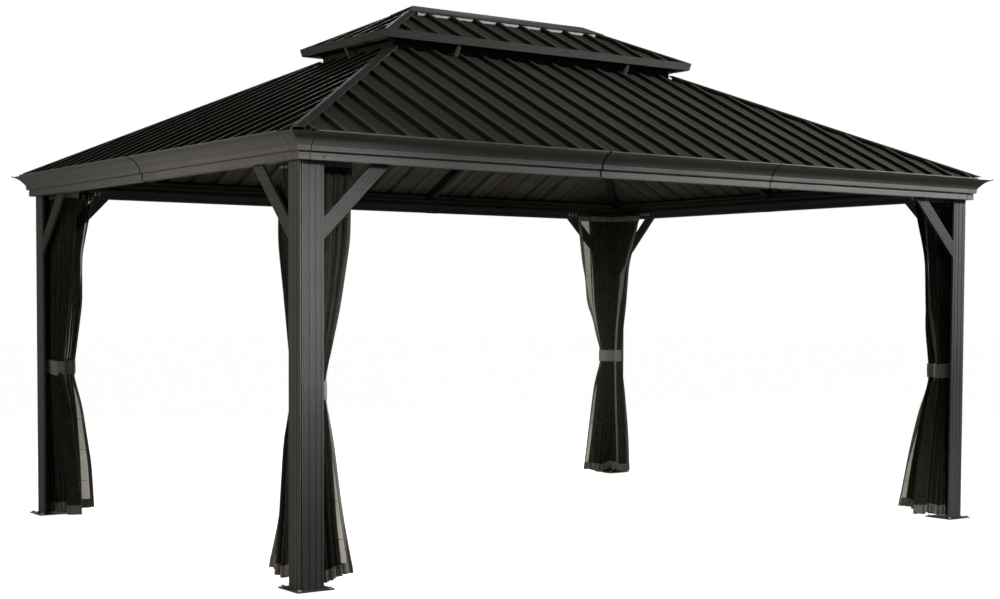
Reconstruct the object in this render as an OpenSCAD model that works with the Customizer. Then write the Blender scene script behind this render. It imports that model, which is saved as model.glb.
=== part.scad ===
// Hardtop metal gazebo: four corner posts, header beams with a moulded cornice,
// a ribbed hip roof with a raised vent roof on top, and nets tied back at the posts.
// Origin on the ground at the middle, X along the long side, Z up, millimetres.

/* [Frame] */
// Length over the posts, along X
frame_l = 4660; // [4200:10:6000]
// Width over the posts, along Y
frame_w = 3400; // [3000:10:4200]
// Height of the beams' underside above the ground
beam_z = 1970; // [1850:5:2300]
// Depth of the header beams
beam_h = 90; // [70:1:100]
// Thickness of the header beams
beam_t = 35; // [30:1:40]
// Distance of the rafters and cornice joints on the long sides from the middle
bay_half = 605; // [500:5:800]
// Length of the brackets that join the lengths of a beam
bracket_l = 90; // [60:1:140]
// Height of those brackets on the beams' inner faces
bracket_h = 30; // [20:1:34]
// Thickness of those brackets
bracket_t = 3; // [2:0.5:5]

/* [Posts] */
// Width of each leg of the angle posts
post_leg = 120; // [100:1:140]
// Side of the block that joins the legs along the outer corner
post_t = 35; // [30:1:40]
// Thickness of each leg past that block
post_leg_t = 14; // [10:1:20]
// Chamfer along the outer corner
post_chamfer = 12; // [9:0.5:15]
// Width of the slot down the outer corner
slot_w = 6; // [4:0.5:8]
// Depth of that slot, measured in from the chamfer
slot_d = 20; // [8:1:24]
// Width of the flutes on the outer faces
flute_w = 8; // [4:0.5:12]
// Depth of the flutes
flute_d = 1.5; // [0.5:0.1:3]

/* [Base plates] */
// Side of the square base plates
plate_w = 200; // [190:1:240]
// Thickness of the base plates
plate_t = 5; // [3:0.5:10]
// Radius of the base plates' corners
plate_r = 14; // [6:1:20]
// Radius of the anchor holes
anchor_r = 6; // [4:0.5:8]
// Distance of the anchor holes from the plate's edges
anchor_edge = 20; // [15:1:25]

/* [Knee braces] */
// Distance of a brace's upper edge from the corner, along the beam and down the post
brace_reach = 258; // [180:1:340]
// Width of a brace's face
brace_w = 70; // [50:1:80]
// Thickness of a brace
brace_t = 14; // [8:1:20]

/* [Cornice] */
// How far the cornice stands out from the posts
cornice_out = 110; // [90:1:140]
// Height of the cornice
cornice_h = 127; // [110:1:150]
// How far the corner caps reach along each side, past the post's outer face
corner_in = 30; // [20:1:60]
// Width of the open joints between the cornice pieces
joint_w = 3; // [1:0.5:6]

/* [Roof sheets] */
// Pitch of the lower slopes, in degrees
lower_pitch = 25.9; // [22:0.1:30]
// Pitch of the upper slopes, in degrees
upper_pitch = 25.9; // [22:0.1:30]
// Distance from the cornice's tip back to the edge of the sheets
eave_back = 60; // [40:1:80]
// Thickness of the sheets
sheet_t = 3; // [2:0.5:4]
// Spacing of the ribs
rib_spacing = 170; // [120:1:240]
// Height of the ribs
rib_h = 18; // [10:1:24]
// Width of a rib at its foot
rib_foot = 44; // [36:1:60]
// Width of a rib along its top
rib_top = 22; // [14:1:30]
// Distance of the sheets' cut edges from the hip line
hip_gap = 14; // [10:1:24]
// Width of each wing of the hip caps
cap_w = 32; // [26:1:60]
// Width in plan of each wing of the ridge cap
ridge_w = 105; // [60:1:130]
// Thickness of the hip and ridge caps
cap_t = 3; // [2:0.5:4]

/* [Vent] */
// Width of the vent opening's curb, outside
vent_w = 794; // [700:2:1000]
// Thickness of the curb
curb_t = 30; // [20:1:40]
// Height of the curb above the lower sheets
curb_rise = 60; // [45:1:70]
// Overhang of the upper eave past the curb
upper_over = 92; // [70:1:130]
// Height of the fascia's lower edge above the lower sheets at the curb
fascia_lift = 44; // [34:1:60]
// Height of the fascia
fascia_h = 45; // [35:1:60]
// Thickness of the fascia
fascia_t = 10; // [6:1:14]
// How far the fascia leans out at its top
fascia_lean = 10; // [0:1:16]
// Width of the ledge inside the fascia that the upper sheets land on
fascia_ledge_w = 24; // [16:1:36]
// Thickness of that ledge
fascia_ledge_t = 4; // [2:0.5:6]
// Width of the vent struts
strut_w = 22; // [16:1:30]
// Thickness of the vent struts
strut_t = 16; // [10:1:20]
// Rise of the corner struts from the curb to the fascia
strut_rise = 14; // [4:1:20]
// How far a strut's foot reaches out over the lower sheet
strut_foot = 46; // [36:1:56]

/* [Rafters] */
// Width of the rafters
rafter_w = 40; // [30:1:50]
// Depth of the rafters, measured plumb
rafter_h = 56; // [40:1:58]

/* [Nets] */
// Height of the net rails
rail_h = 18; // [12:1:24]
// Width of the net rails
rail_w = 16; // [12:1:24]
// Height of the net rails above the beams' underside
rail_lift = 40; // [36:1:48]
// Gap between the ground and the hems
hem_gap = 20; // [12:1:60]
// Depth of a gathered net, across the opening
net_depth = 90; // [70:1:110]
// Depth of a net where its tie draws it in
waist_depth = 64; // [50:1:68]
// Gap between a net and the post's inner faces
net_clear = 10; // [6:1:14]
// Height of the ties' middle above the ground
tie_z = 915; // [700:5:1200]
// Height of a tie
tie_h = 90; // [50:1:120]
// Thickness of a tie
tie_t = 3; // [1:0.5:4]
// Reach of a long side's net from the post's outer face, at its top
long_net_top = 420; // [340:1:460]
// Reach of a long side's net at its tie
long_net_waist = 205; // [180:1:240]
// Reach of a long side's net at its hem
long_net_hem = 345; // [280:1:400]
// Reach of a short side's net from the post's outer face, at its top
short_net_top = 410; // [340:1:460]
// Reach of a short side's net at its tie
short_net_waist = 225; // [205:1:260]
// Reach of a short side's net at its hem
short_net_hem = 440; // [330:1:480]

/* [Hidden] */
$fn = 48;
// Gap left between faces that seat on each other
seat = 0.3;
// Gap between the ties of two nets at one corner
tie_gap = 3;
// How far the cutting shapes run past what they cut
overrun = 20;
// Middles of the flutes, as shares of a post's leg
flute_shares = [0.34, 0.62, 0.86];
// Middles of the flutes on a beam's inner face, as shares of its depth
beam_flute_shares = [0.25, 0.8];
// Middles of the flutes on a brace, as shares of its width
brace_flute_shares = [0.2, 0.5, 0.8];
// Steps along the cornice's cove
cove_steps = 8;
// Lower bands of the cornice's outline, as shares of how far it stands out and of its height
cornice_foot_shares = [
  [0.255, 0], [0.255, 0.25], [0.235, 0.262], [0.235, 0.29], [0.362, 0.312], [0.388, 0.462], [0.37, 0.48]
];
// Start, pull and end of the cove, in the same shares
cove_shares = [[0.38, 0.495], [0.66, 0.875], [0.93, 0.915]];
// Lip of the cornice, in the same shares
lip_shares = [[1, 0.955], [1, 1], [0.945, 1], [0.945, 0.945]];
// Height of the ledge that the roof sheets land on, as a share of the cornice's height
ledge_share = 0.945;
// Height of a net's shoulder, as a share of the height from its tie to its top
shoulder_share = 0.55;
// Fullness at the shoulder, as a share of the top reach past the tie's
shoulder_full_share = 0.46;
// Squareness of a gathered net's outline: 1 is an ellipse
net_square_share = 0.55;
// Points round a gathered net
net_points = 14;
half_share = 0.5;

front = 0;
right = 1;
back = 2;
left = 3;
SIDES = [["front", front], ["right", right], ["back", back], ["left", left]];
// Name, then 1 where the corner is on the right, and 1 where it is at the back
CORNERS = [["front_left", 0, 0], ["front_right", 1, 0], ["back_left", 0, 1], ["back_right", 1, 1]];

// Half of the frame's length along a side, and its distance out from the middle
function frame_along(s) = (s % 2 == 0 ? frame_l : frame_w) / 2;
function frame_off(s) = (s % 2 == 0 ? frame_w : frame_l) / 2;
function roof_along(s) = frame_along(s) + cornice_out;
function roof_off(s) = frame_off(s) + cornice_out;

beam_top = beam_z + beam_h;
ledge_z = beam_z + cornice_h * ledge_share;
brace_out = brace_reach + brace_w * sqrt(2);

// Plan distance from the cornice's tip in to the curb, the same on every side
vent_in = frame_w / 2 + cornice_out - vent_w / 2;
vent_l = frame_l + 2 * cornice_out - 2 * vent_in;
function vent_along(s) = (s % 2 == 0 ? vent_l : vent_w) / 2;
function vent_off(s) = (s % 2 == 0 ? vent_w : vent_l) / 2;

// Height of the lower sheets' top face at a distance in from the tip
lower_tip_z = ledge_z + seat + sheet_t * cos(lower_pitch) - eave_back * tan(lower_pitch);
function lower_z(inset) = lower_tip_z + inset * tan(lower_pitch);
function lower_under_z(inset) = lower_z(inset) - sheet_t / cos(lower_pitch) - seat;
sheet_stop = sheet_t * sin(lower_pitch) + seat;

curb_foot_z = lower_under_z(vent_in) - rafter_h;
curb_top_z = lower_z(vent_in) + curb_rise;
fascia_z = lower_z(vent_in) + fascia_lift;
fascia_top_z = fascia_z + fascia_h;
function upper_along(s) = vent_along(s) + upper_over + fascia_lean;
function upper_off(s) = vent_off(s) + upper_over + fascia_lean;
// The upper sheets end behind the fascia, their ribs' tops level with its top
upper_back = fascia_t + 2 * seat + rib_h * sin(upper_pitch);
upper_tip_z = fascia_top_z - rib_h * cos(upper_pitch) - upper_back * tan(upper_pitch);
ridge_half = upper_along(front) - upper_off(front);
ridge_pan_z = upper_tip_z + upper_off(front) * tan(upper_pitch);
ridge_z = ridge_pan_z + (rib_h + 2 * cap_t + 2 * seat) / cos(upper_pitch);

net_foot = post_t + net_clear;
// A corner's second net starts past the first one's depth
second_net_foot = net_foot + net_depth + tie_gap;
second_waist_foot = net_foot + waist_depth + 2 * (tie_t + seat) + tie_gap;
rail_z = beam_z + rail_lift;
net_top_z = rail_z - seat;

steel = [0.2, 0.195, 0.185];
roof_steel = [0.165, 0.155, 0.15];
netting = [0.07, 0.068, 0.06];

// Turns a piece made for the front so that it stands on another side
module on_side(s) rotate([0, 0, 90 * s]) children();

// Mirrors a piece made for the front left corner to another corner
module on_corner(c) mirror([c[1], 0, 0]) mirror([0, c[2], 0]) children();

// Puts the outer corner of the front left post at the origin
module at_post() translate([-frame_l / 2, -frame_w / 2, 0]) children();

// Swaps a piece along the front side for the same piece along the left side
module swapped() mirror([1, -1, 0]) children();

// Extrudes an outline of [distance in, height] along X, centred
module along_x(length) translate([-length / 2, 0, 0]) rotate([90, 0, 90]) linear_extrude(length) children();

module base_plate(c) color(steel) on_corner(c) at_post() {
  lip = (plate_w - post_leg) / 2;
  round_at = [plate_r - lip, plate_w - plate_r - lip];
  difference() {
    union() {
      translate([plate_r - lip, -lip, 0]) cube([plate_w - 2 * plate_r, plate_w, plate_t]);
      translate([-lip, plate_r - lip, 0]) cube([plate_w, plate_w - 2 * plate_r, plate_t]);
      for (x = round_at, y = round_at) translate([x, y, 0]) cylinder(r = plate_r, h = plate_t);
    }
    for (x = [anchor_edge - lip, plate_w - anchor_edge - lip], y = [anchor_edge - lip, plate_w - anchor_edge - lip])
      translate([x, y, -overrun]) cylinder(r = anchor_r, h = plate_t + 2 * overrun);
  }
}

module post(c) color(steel) on_corner(c) at_post() translate([0, 0, plate_t]) {
  tall = beam_top - plate_t;
  slot_from = post_chamfer / sqrt(2) - overrun;
  difference() {
    linear_extrude(tall) polygon([
      [post_chamfer, 0], [post_leg, 0], [post_leg, post_leg_t], [post_t, post_leg_t], [post_t, post_t],
      [post_leg_t, post_t], [post_leg_t, post_leg], [0, post_leg], [0, post_chamfer]
    ]);
    rotate([0, 0, 45]) translate([slot_from, -slot_w / 2, -overrun])
      cube([slot_d + overrun, slot_w, tall + 2 * overrun]);
    for (share = flute_shares) {
      middle = post_leg * share;
      translate([middle - flute_w / 2, -overrun, -overrun])
        cube([flute_w, flute_d + overrun, tall + 2 * overrun]);
      translate([-overrun, middle - flute_w / 2, -overrun])
        cube([flute_d + overrun, flute_w, tall + 2 * overrun]);
    }
  }
}

// A brace along the front side at the front left post
module brace() at_post() {
  inset = max(post_leg_t - brace_t, 0) / 2;
  translate([post_leg + seat, inset, beam_z - seat]) difference() {
    rotate([90, 0, 0]) translate([0, 0, -brace_t]) linear_extrude(brace_t)
      polygon([[0, -brace_out], [brace_out, 0], [brace_reach, 0], [0, -brace_reach]]);
    for (share = brace_flute_shares)
      translate([0, 0, -brace_reach - brace_w * sqrt(2) * share]) rotate([0, -45, 0])
        translate([-brace_out, -overrun, -flute_w / 4])
          cube([3 * brace_out, flute_d + overrun, flute_w / 2]);
  }
}

module long_brace(c) color(steel) on_corner(c) brace();

module short_brace(c) color(steel) on_corner(c) at_post() swapped() translate([frame_l / 2, frame_w / 2, 0]) brace();

module beam(s) color(steel) on_side(s) {
  length = 2 * (frame_along(s) - post_leg - seat);
  translate([-length / 2, -frame_off(s), beam_z]) difference() {
    cube([length, beam_t, beam_h]);
    for (share = beam_flute_shares)
      translate([-overrun, beam_t - flute_d, beam_h * share - flute_w / 2])
        cube([length + 2 * overrun, flute_d + overrun, flute_w]);
  }
}

// Distances along a side of the joints in its beam and cornice
function joints(s) = s % 2 == 0 ? [-bay_half, bay_half] : [0];

module beam_brackets() color(steel) for (s = [0 : 3], x = joints(s)) on_side(s)
  translate([x, beam_t + seat - frame_off(s), beam_z]) along_x(bracket_l) polygon([
    [-beam_t, -seat], [-beam_t, -bracket_t], [bracket_t, -bracket_t], [bracket_t, bracket_h],
    [0, bracket_h], [0, -seat]
  ]);

// A point of the cornice's outline: distance out from the post's face, negated, and height
function cornice_point(share) = [-cornice_out * share[0], cornice_h * share[1]];
function cove_point(t) = (1 - t) * (1 - t) * cove_shares[0] + 2 * t * (1 - t) * cove_shares[1] + t * t * cove_shares[2];

// Outline of the cornice, from a given distance behind the post's face out to its tip
module cornice_outline(behind) {
  cove = [for (k = [0 : cove_steps]) cove_point(k / cove_steps)];
  outer = [for (share = concat(cornice_foot_shares, cove, lip_shares)) cornice_point(share)];
  polygon(concat([[behind, 0]], outer, [[behind, cornice_h * ledge_share]]));
}

module cornice(s) color(steel) on_side(s) {
  length = 2 * (frame_along(s) - corner_in - joint_w);
  translate([0, -frame_off(s) - seat, beam_z]) difference() {
    along_x(length) cornice_outline(0);
    for (x = joints(s))
      translate([x - joint_w / 2, -cornice_out - overrun, -overrun])
        cube([joint_w, cornice_out + 2 * overrun, cornice_h + 2 * overrun]);
  }
}

// The moulding of the front side, cut to the length of a corner cap
module cap_moulding() {
  length = corner_in + cornice_out;
  translate([length / 2 - cornice_out, 0, 0]) along_x(length) cornice_outline(corner_in);
}

module cornice_corners() color(steel) for (c = CORNERS) on_corner(c) at_post() translate([-seat, -seat, beam_z])
  difference() {
    intersection() {
      cap_moulding();
      swapped() cap_moulding();
    }
    translate([0, 0, -overrun]) cube([corner_in + overrun, corner_in + overrun, cornice_h + 2 * overrun]);
  }

// Side view of a lower rafter, its foot on the beam; stretch lengthens it along a hip
function rafter_side(from, to, seat_end, drop, stretch) = [
  [from * stretch, beam_top + seat],
  [from * stretch, lower_under_z(from) - drop],
  [to * stretch, lower_under_z(to) - drop],
  [to * stretch, lower_under_z(to) - rafter_h],
  [seat_end * stretch, lower_under_z(seat_end) - rafter_h],
  [seat_end * stretch, beam_top + seat]
];

module hip_rafters() color(steel) for (c = CORNERS) on_corner(c) {
  clear = rafter_w / 2 / sqrt(2);
  drop = clear * tan(lower_pitch);
  difference() {
    translate([-roof_along(front), -roof_off(front), 0]) rotate([0, 0, 45]) rotate([90, 0, 0])
      translate([0, 0, -rafter_w / 2]) linear_extrude(rafter_w)
        polygon(rafter_side(cornice_out + clear + seat, vent_in + clear, cornice_out + post_t, drop, sqrt(2)));
    translate([-vent_l / 2 - seat, -vent_w / 2 - seat, curb_foot_z - overrun])
      cube([vent_l, vent_w, curb_top_z - curb_foot_z]);
  }
}

module common_rafter(s, x) on_side(s) translate([x + rafter_w / 2, -roof_off(s), 0]) rotate([90, 0, -90])
  mirror([1, 0, 0]) linear_extrude(rafter_w)
    polygon(rafter_side(cornice_out + seat, vent_in - seat, cornice_out + beam_t, 0, 1));

module common_rafters() color(steel) {
  for (s = [front, back], x = [-bay_half, bay_half]) common_rafter(s, x);
  for (s = [left, right]) common_rafter(s, 0);
}

// Middles of the ribs on a slope of a given half length, evenly spaced about its middle
function rib_middles(half) =
  let (n = floor((half - rib_foot) / rib_spacing + half_share))
  [for (k = [-n : n - 1]) (k + half_share) * rib_spacing];

// Outline across a ribbed sheet, the ribs hollow underneath
function sheet_outline(half) =
  let (
    flank = (rib_foot - rib_top) / 2,
    inner = sheet_t * (sqrt(flank * flank + rib_h * rib_h) - flank) / rib_h,
    foot = rib_foot / 2,
    top = rib_top / 2,
    over = [[-foot, 0], [-top, rib_h], [top, rib_h], [foot, 0]],
    under = [[foot - inner, 0], [top - inner, rib_h], [inner - top, rib_h], [inner - foot, 0]],
    xs = rib_middles(half),
    n = len(xs)
  )
  concat(
    [[-half, -sheet_t], [-half, 0]],
    [for (x = xs, p = over) [x + p[0], p[1]]],
    [[half, 0], [half, -sheet_t]],
    [for (k = [1 : n], p = under) [xs[n - k] + p[0], p[1] - sheet_t]]
  );

// Plan of a slope in its own plane, from the eave up to the curb or the ridge
function slope_plan(half, from, to, pitch) =
  let (apex = min(to, half - hip_gap), top = half - hip_gap - apex)
  concat(
    [[-half + hip_gap + from, from / cos(pitch)], [half - hip_gap - from, from / cos(pitch)]],
    top > 0 ? [[top, apex / cos(pitch)], [-top, apex / cos(pitch)]] : [[0, apex / cos(pitch)]]
  );

// A ribbed sheet in its own plane: x along the eave, y up the slope from the tip line
module ribbed_sheet(half, from, to, pitch) intersection() {
  translate([0, to / cos(pitch), 0]) rotate([90, 0, 0]) linear_extrude((to - from) / cos(pitch))
    polygon(sheet_outline(half - from));
  translate([0, 0, -sheet_t - overrun]) linear_extrude(sheet_t + rib_h + 2 * overrun)
    polygon(slope_plan(half, from, to, pitch));
}

module on_lower_slope(s) on_side(s) translate([0, -roof_off(s), lower_tip_z]) rotate([lower_pitch, 0, 0]) children();
module on_upper_slope(s) on_side(s) translate([0, -upper_off(s), upper_tip_z]) rotate([upper_pitch, 0, 0]) children();

module lower_roof(s) color(roof_steel) on_lower_slope(s)
  ribbed_sheet(roof_along(s), eave_back, vent_in - sheet_stop, lower_pitch);

module upper_roof(s) color(roof_steel) on_upper_slope(s)
  ribbed_sheet(upper_along(s), upper_back, upper_off(front) - hip_gap, upper_pitch);

// One wing of a hip cap, in the plane of a slope, at the end of it that end points to (1 or -1)
module cap_wing(half, from, to, pitch, end) {
  rise = rib_h + seat;
  edge = half + (rise + cap_t / 2) * sin(pitch);
  across = cap_w * sqrt(1 + cos(pitch) * cos(pitch));
  translate([0, 0, rise]) linear_extrude(cap_t) polygon([
    [end * (edge - from), from / cos(pitch)], [end * (edge - to), to / cos(pitch)],
    [end * (edge - to - across), to / cos(pitch)], [end * (edge - from - across), from / cos(pitch)]
  ]);
}

module lower_hip_caps() color(roof_steel) for (c = CORNERS) on_corner(c) {
  stop = vent_in - (rib_h + cap_t) * sin(lower_pitch) - cap_t;
  on_lower_slope(front) cap_wing(roof_along(front), eave_back, stop, lower_pitch, -1);
  on_lower_slope(left) cap_wing(roof_along(left), eave_back, stop, lower_pitch, 1);
}

module upper_hip_caps() color(roof_steel) for (c = CORNERS) on_corner(c) intersection() {
  union() {
    on_upper_slope(front) cap_wing(upper_along(front), upper_back, upper_off(front), upper_pitch, -1);
    on_upper_slope(left) cap_wing(upper_along(left), upper_back, upper_off(front), upper_pitch, 1);
  }
  translate([-frame_l, -frame_w - seat, 0]) cube([2 * frame_l, frame_w, 2 * ridge_z]);
}

// Its ends are mitred, so that they lie over the hip caps
module ridge_cap() color(roof_steel) {
  fall = ridge_w * tan(upper_pitch);
  plumb = cap_t / cos(upper_pitch);
  middle = ridge_half + hip_gap;
  tip = ridge_half + ridge_w;
  intersection() {
    along_x(2 * tip) polygon([
      [-ridge_w, ridge_z - fall], [-ridge_w, ridge_z - fall - plumb], [0, ridge_z - plumb],
      [ridge_w, ridge_z - fall - plumb], [ridge_w, ridge_z - fall], [0, ridge_z]
    ]);
    translate([0, 0, ridge_z - fall - overrun]) linear_extrude(fall + 2 * overrun) polygon([
      [-tip, -ridge_w], [tip, -ridge_w], [middle, 0], [tip, ridge_w], [-tip, ridge_w], [-middle, 0]
    ]);
  }
}

module vent_curb() color(steel) for (s = [0 : 3]) on_side(s) {
  length = s % 2 == 0 ? vent_l : vent_w - 2 * curb_t - 2 * seat;
  translate([-length / 2, -vent_off(s), curb_foot_z]) cube([length, curb_t, curb_top_z - curb_foot_z]);
}

// Distance from the curb out to the fascia's inner face at a height
function fascia_in(z) = upper_over - fascia_t + lean_at(z - fascia_z) - 2 * seat;

// Side view of a strut: its foot lies along the lower sheet, and its arm leans out to the fascia
function strut_side() =
  let (
    z1 = fascia_z + seat,
    z2 = z1 + strut_t,
    heel = strut_foot - strut_t
  )
  [
    [0, lower_z(vent_in) + seat],
    [-strut_foot, lower_z(vent_in - strut_foot) + seat],
    [-fascia_in(z1), z1],
    [-fascia_in(z2), z2],
    [-heel, lower_z(vent_in - heel) + seat + strut_t / 2],
    [0, lower_z(vent_in) + seat + strut_t / 2]
  ];

// Side view of a corner strut: an arm from the curb's corner, rising to the corner of the fascia
function corner_strut_side() =
  let (
    z1 = fascia_z + seat,
    z2 = z1 + strut_t,
    short = strut_w / 2
  )
  [
    [0, z1 - strut_rise], [short - fascia_in(z1) * sqrt(2), z1],
    [short - fascia_in(z2) * sqrt(2), z2], [0, z2 - strut_rise]
  ];

module vent_strut(s, x) on_side(s) translate([x, -vent_off(s) - seat, 0]) along_x(strut_w) polygon(strut_side());

module vent_struts() color(steel) {
  // The rib nearest to the bay, which the strut stands beside
  rib_x = (floor(bay_half / rib_spacing) + half_share) * rib_spacing;
  beside = rib_x + (rib_foot + strut_w) / 2 + seat;
  for (s = [front, back], x = [-beside, beside]) vent_strut(s, x);
  for (s = [left, right]) vent_strut(s, 0);
  for (c = CORNERS) on_corner(c) translate([-vent_l / 2, -vent_w / 2, 0]) rotate([0, 0, -45])
    translate([0, -seat, 0]) along_x(strut_w) polygon(corner_strut_side());
}

// How far the fascia has leaned out at a height above its foot
function lean_at(height) = fascia_lean * height / fascia_h;

module upper_fascia() color(steel) for (s = [0 : 3]) on_side(s) {
  along = vent_along(s) + upper_over;
  off = vent_off(s) + upper_over;
  reach = fascia_lean + overrun;
  ledge = fascia_h - (rib_h + sheet_t) * cos(upper_pitch) - seat;
  ledge_foot = ledge - fascia_ledge_t;
  intersection() {
    translate([0, -off, fascia_z]) along_x(2 * (along + reach))
      polygon([
        [0, 0], [fascia_t, 0], [fascia_t - lean_at(ledge_foot), ledge_foot],
        [fascia_t + fascia_ledge_w, ledge_foot], [fascia_t + fascia_ledge_w, ledge],
        [fascia_t - lean_at(ledge), ledge], [fascia_t - fascia_lean, fascia_h], [-fascia_lean, fascia_h]
      ]);
    translate([0, 0, fascia_z - overrun]) linear_extrude(fascia_h + 2 * overrun) polygon([
      [-along - reach + seat, -off - reach], [along + reach - seat, -off - reach],
      [along - upper_over - seat, upper_over - off], [upper_over - along + seat, upper_over - off]
    ]);
  }
}

module net_rails() color(steel) for (s = [0 : 3]) on_side(s) {
  shorter = s % 2 == 0 ? 0 : rail_w + seat;
  length = 2 * (frame_along(s) - post_t - seat - shorter);
  translate([-length / 2, beam_t + seat - frame_off(s), rail_z]) cube([length, rail_w, rail_h]);
}

// Points round a gathered net between two distances along the side, rounded at its ends
function net_ring(from, to, depth, grow) = [
  for (k = [0 : net_points - 1])
    let (a = 360 * k / net_points, c = cos(a), s = sin(a))
    [
      (from + to) / 2 + sign(c) * pow(abs(c), net_square_share) * ((to - from) / 2 + grow),
      net_foot + depth / 2 + sign(s) * pow(abs(s), net_square_share) * (depth / 2 + grow)
    ]
];

// A net gathered against its post, drawn in by a tie between its top and its hem
module gathered_net(from, waist_from, top, waist, hem) {
  tie_foot = tie_z - tie_h / 2;
  tie_top = tie_z + tie_h / 2;
  shoulder_z = tie_top + (net_top_z - tie_top) * shoulder_share;
  shoulder = waist + (top - waist) * shoulder_full_share;
  // Height, start and reach along the side, and depth
  levels = [
    [hem_gap, from, hem, net_depth], [tie_foot, waist_from, waist, waist_depth],
    [tie_top, waist_from, waist, waist_depth], [shoulder_z, from, shoulder, net_depth],
    [net_top_z, from, top, net_depth]
  ];
  n = net_points;
  rings = len(levels);
  points = [for (level = levels, p = net_ring(level[1], level[2], level[3], 0)) [p[0], p[1], level[0]]];
  walls = [for (r = [0 : rings - 2], k = [0 : n - 1])
    [r * n + k, r * n + n + k, r * n + n + (k + 1) % n, r * n + (k + 1) % n]];
  polyhedron(points, concat(
    walls, [[for (k = [0 : n - 1]) k]], [[for (k = [0 : n - 1]) rings * n - 1 - k]]
  ));
}

module tie(from, waist) translate([0, 0, tie_z - tie_h / 2]) linear_extrude(tie_h) difference() {
  polygon(net_ring(from, waist, waist_depth, tie_t + seat));
  polygon(net_ring(from, waist, waist_depth, seat));
}

module nets(c) color(netting) on_corner(c) at_post() {
  gathered_net(net_foot, net_foot, long_net_top, long_net_waist, long_net_hem);
  swapped() gathered_net(second_net_foot, second_waist_foot, short_net_top, short_net_waist, short_net_hem);
}

module net_ties() color(netting) for (c = CORNERS) on_corner(c) at_post() {
  tie(net_foot, long_net_waist);
  swapped() tie(second_waist_foot, short_net_waist);
}

for (c = CORNERS) base_plate(c);
for (c = CORNERS) post(c);
for (c = CORNERS) long_brace(c);
for (c = CORNERS) short_brace(c);
for (s = SIDES) beam(s[1]);
beam_brackets();
for (s = SIDES) cornice(s[1]);
cornice_corners();
hip_rafters();
common_rafters();
for (s = SIDES) lower_roof(s[1]);
lower_hip_caps();
vent_curb();
vent_struts();
upper_fascia();
for (s = SIDES) upper_roof(s[1]);
upper_hip_caps();
ridge_cap();
net_rails();
for (c = CORNERS) nets(c);
net_ties();
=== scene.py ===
import math

import bpy
import numpy as np
from mathutils import Matrix, Vector


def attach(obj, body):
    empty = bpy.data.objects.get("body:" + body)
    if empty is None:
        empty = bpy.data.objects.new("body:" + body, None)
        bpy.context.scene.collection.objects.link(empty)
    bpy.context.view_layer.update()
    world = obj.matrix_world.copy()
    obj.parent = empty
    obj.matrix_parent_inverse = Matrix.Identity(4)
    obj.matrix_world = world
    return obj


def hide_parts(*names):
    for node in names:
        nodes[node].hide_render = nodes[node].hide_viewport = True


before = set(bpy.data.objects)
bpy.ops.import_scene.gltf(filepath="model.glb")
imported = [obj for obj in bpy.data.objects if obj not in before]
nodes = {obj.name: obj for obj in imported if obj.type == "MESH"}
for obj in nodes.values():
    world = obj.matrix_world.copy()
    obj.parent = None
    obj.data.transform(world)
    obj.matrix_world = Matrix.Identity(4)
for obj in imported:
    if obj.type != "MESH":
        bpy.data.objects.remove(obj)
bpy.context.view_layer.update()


# Base plates: square steel plates with rounded corners under the posts, coated with the rest of the frame.
# Each is held down by four hexagon-headed anchor bolts with washers, through holes near its corners.
CORNERS = {"front_left": (-1, -1), "front_right": (1, -1), "back_left": (-1, 1), "back_right": (1, 1)}
# How far the posts' outer faces stand from the middle of the plan
OUTER_X = 2.33
OUTER_Y = 1.70


class Wire:
    """An output in a material's nodes. Arithmetic on it adds Math nodes, and node() adds any other node."""

    def __init__(self, tree, output=None):
        self.tree = tree
        self.output = output

    def node(self, kind, settings, inputs, output=0):
        """Adds a node: its settings first, then the values of its inputs or the wires that feed them."""
        added = self.tree.nodes.new(kind)
        for name, value in settings.items():
            setattr(added, name, value)
        for name, value in inputs.items():
            if isinstance(value, Wire):
                self.tree.links.new(value.output, added.inputs[name])
            else:
                added.inputs[name].default_value = value
        return Wire(self.tree, added.outputs[output])

    def maths(self, operation, left, right):
        """A Math node on two wires or numbers."""
        return self.node("ShaderNodeMath", {"operation": operation}, {0: left, 1: right})

    def __add__(self, other):
        return self.maths("ADD", self, other)

    def __radd__(self, other):
        return self.maths("ADD", other, self)

    def __sub__(self, other):
        return self.maths("SUBTRACT", self, other)

    def __rsub__(self, other):
        return self.maths("SUBTRACT", other, self)

    def __mul__(self, other):
        return self.maths("MULTIPLY", self, other)

    def __rmul__(self, other):
        return self.maths("MULTIPLY", other, self)

    def rising(self, low, high):
        """0 below low, 1 above high, and a smooth rise between."""
        ends = {"Value": self, "From Min": low, "From Max": high}
        return self.node("ShaderNodeMapRange", {"interpolation_type": "SMOOTHSTEP"}, ends)

    def noise(self, size, detail):
        """Noise from 0 to 1 at this place, its features about size metres across."""
        values = {"Vector": self, "Scale": 1 / size, "Detail": detail}
        return self.node("ShaderNodeTexNoise", {}, values, "Fac")

    def times(self, factors):
        """This vector with each of its parts times a factor."""
        return self.node("ShaderNodeVectorMath", {"operation": "MULTIPLY"}, {0: self, 1: factors})

    def part(self, axis):
        """How far this vector goes along an axis."""
        return self.node("ShaderNodeVectorMath", {"operation": "DOT_PRODUCT"}, {0: self, 1: axis}, "Value")

    def size(self):
        """This number without its sign."""
        return self.maths("ABSOLUTE", self, 0)

    def between(self, colour, other):
        """The first colour where this is 0, the other where it is 1."""
        return self.node("ShaderNodeMix", {"data_type": "RGBA"}, {0: self, 6: colour, 7: other}, 2)

    def bump(self, strength, height):
        """A normal raised by this wire, height metres at 1."""
        values = {"Strength": strength, "Distance": height, "Height": self}
        return self.node("ShaderNodeBump", {}, values, "Normal")


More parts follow.
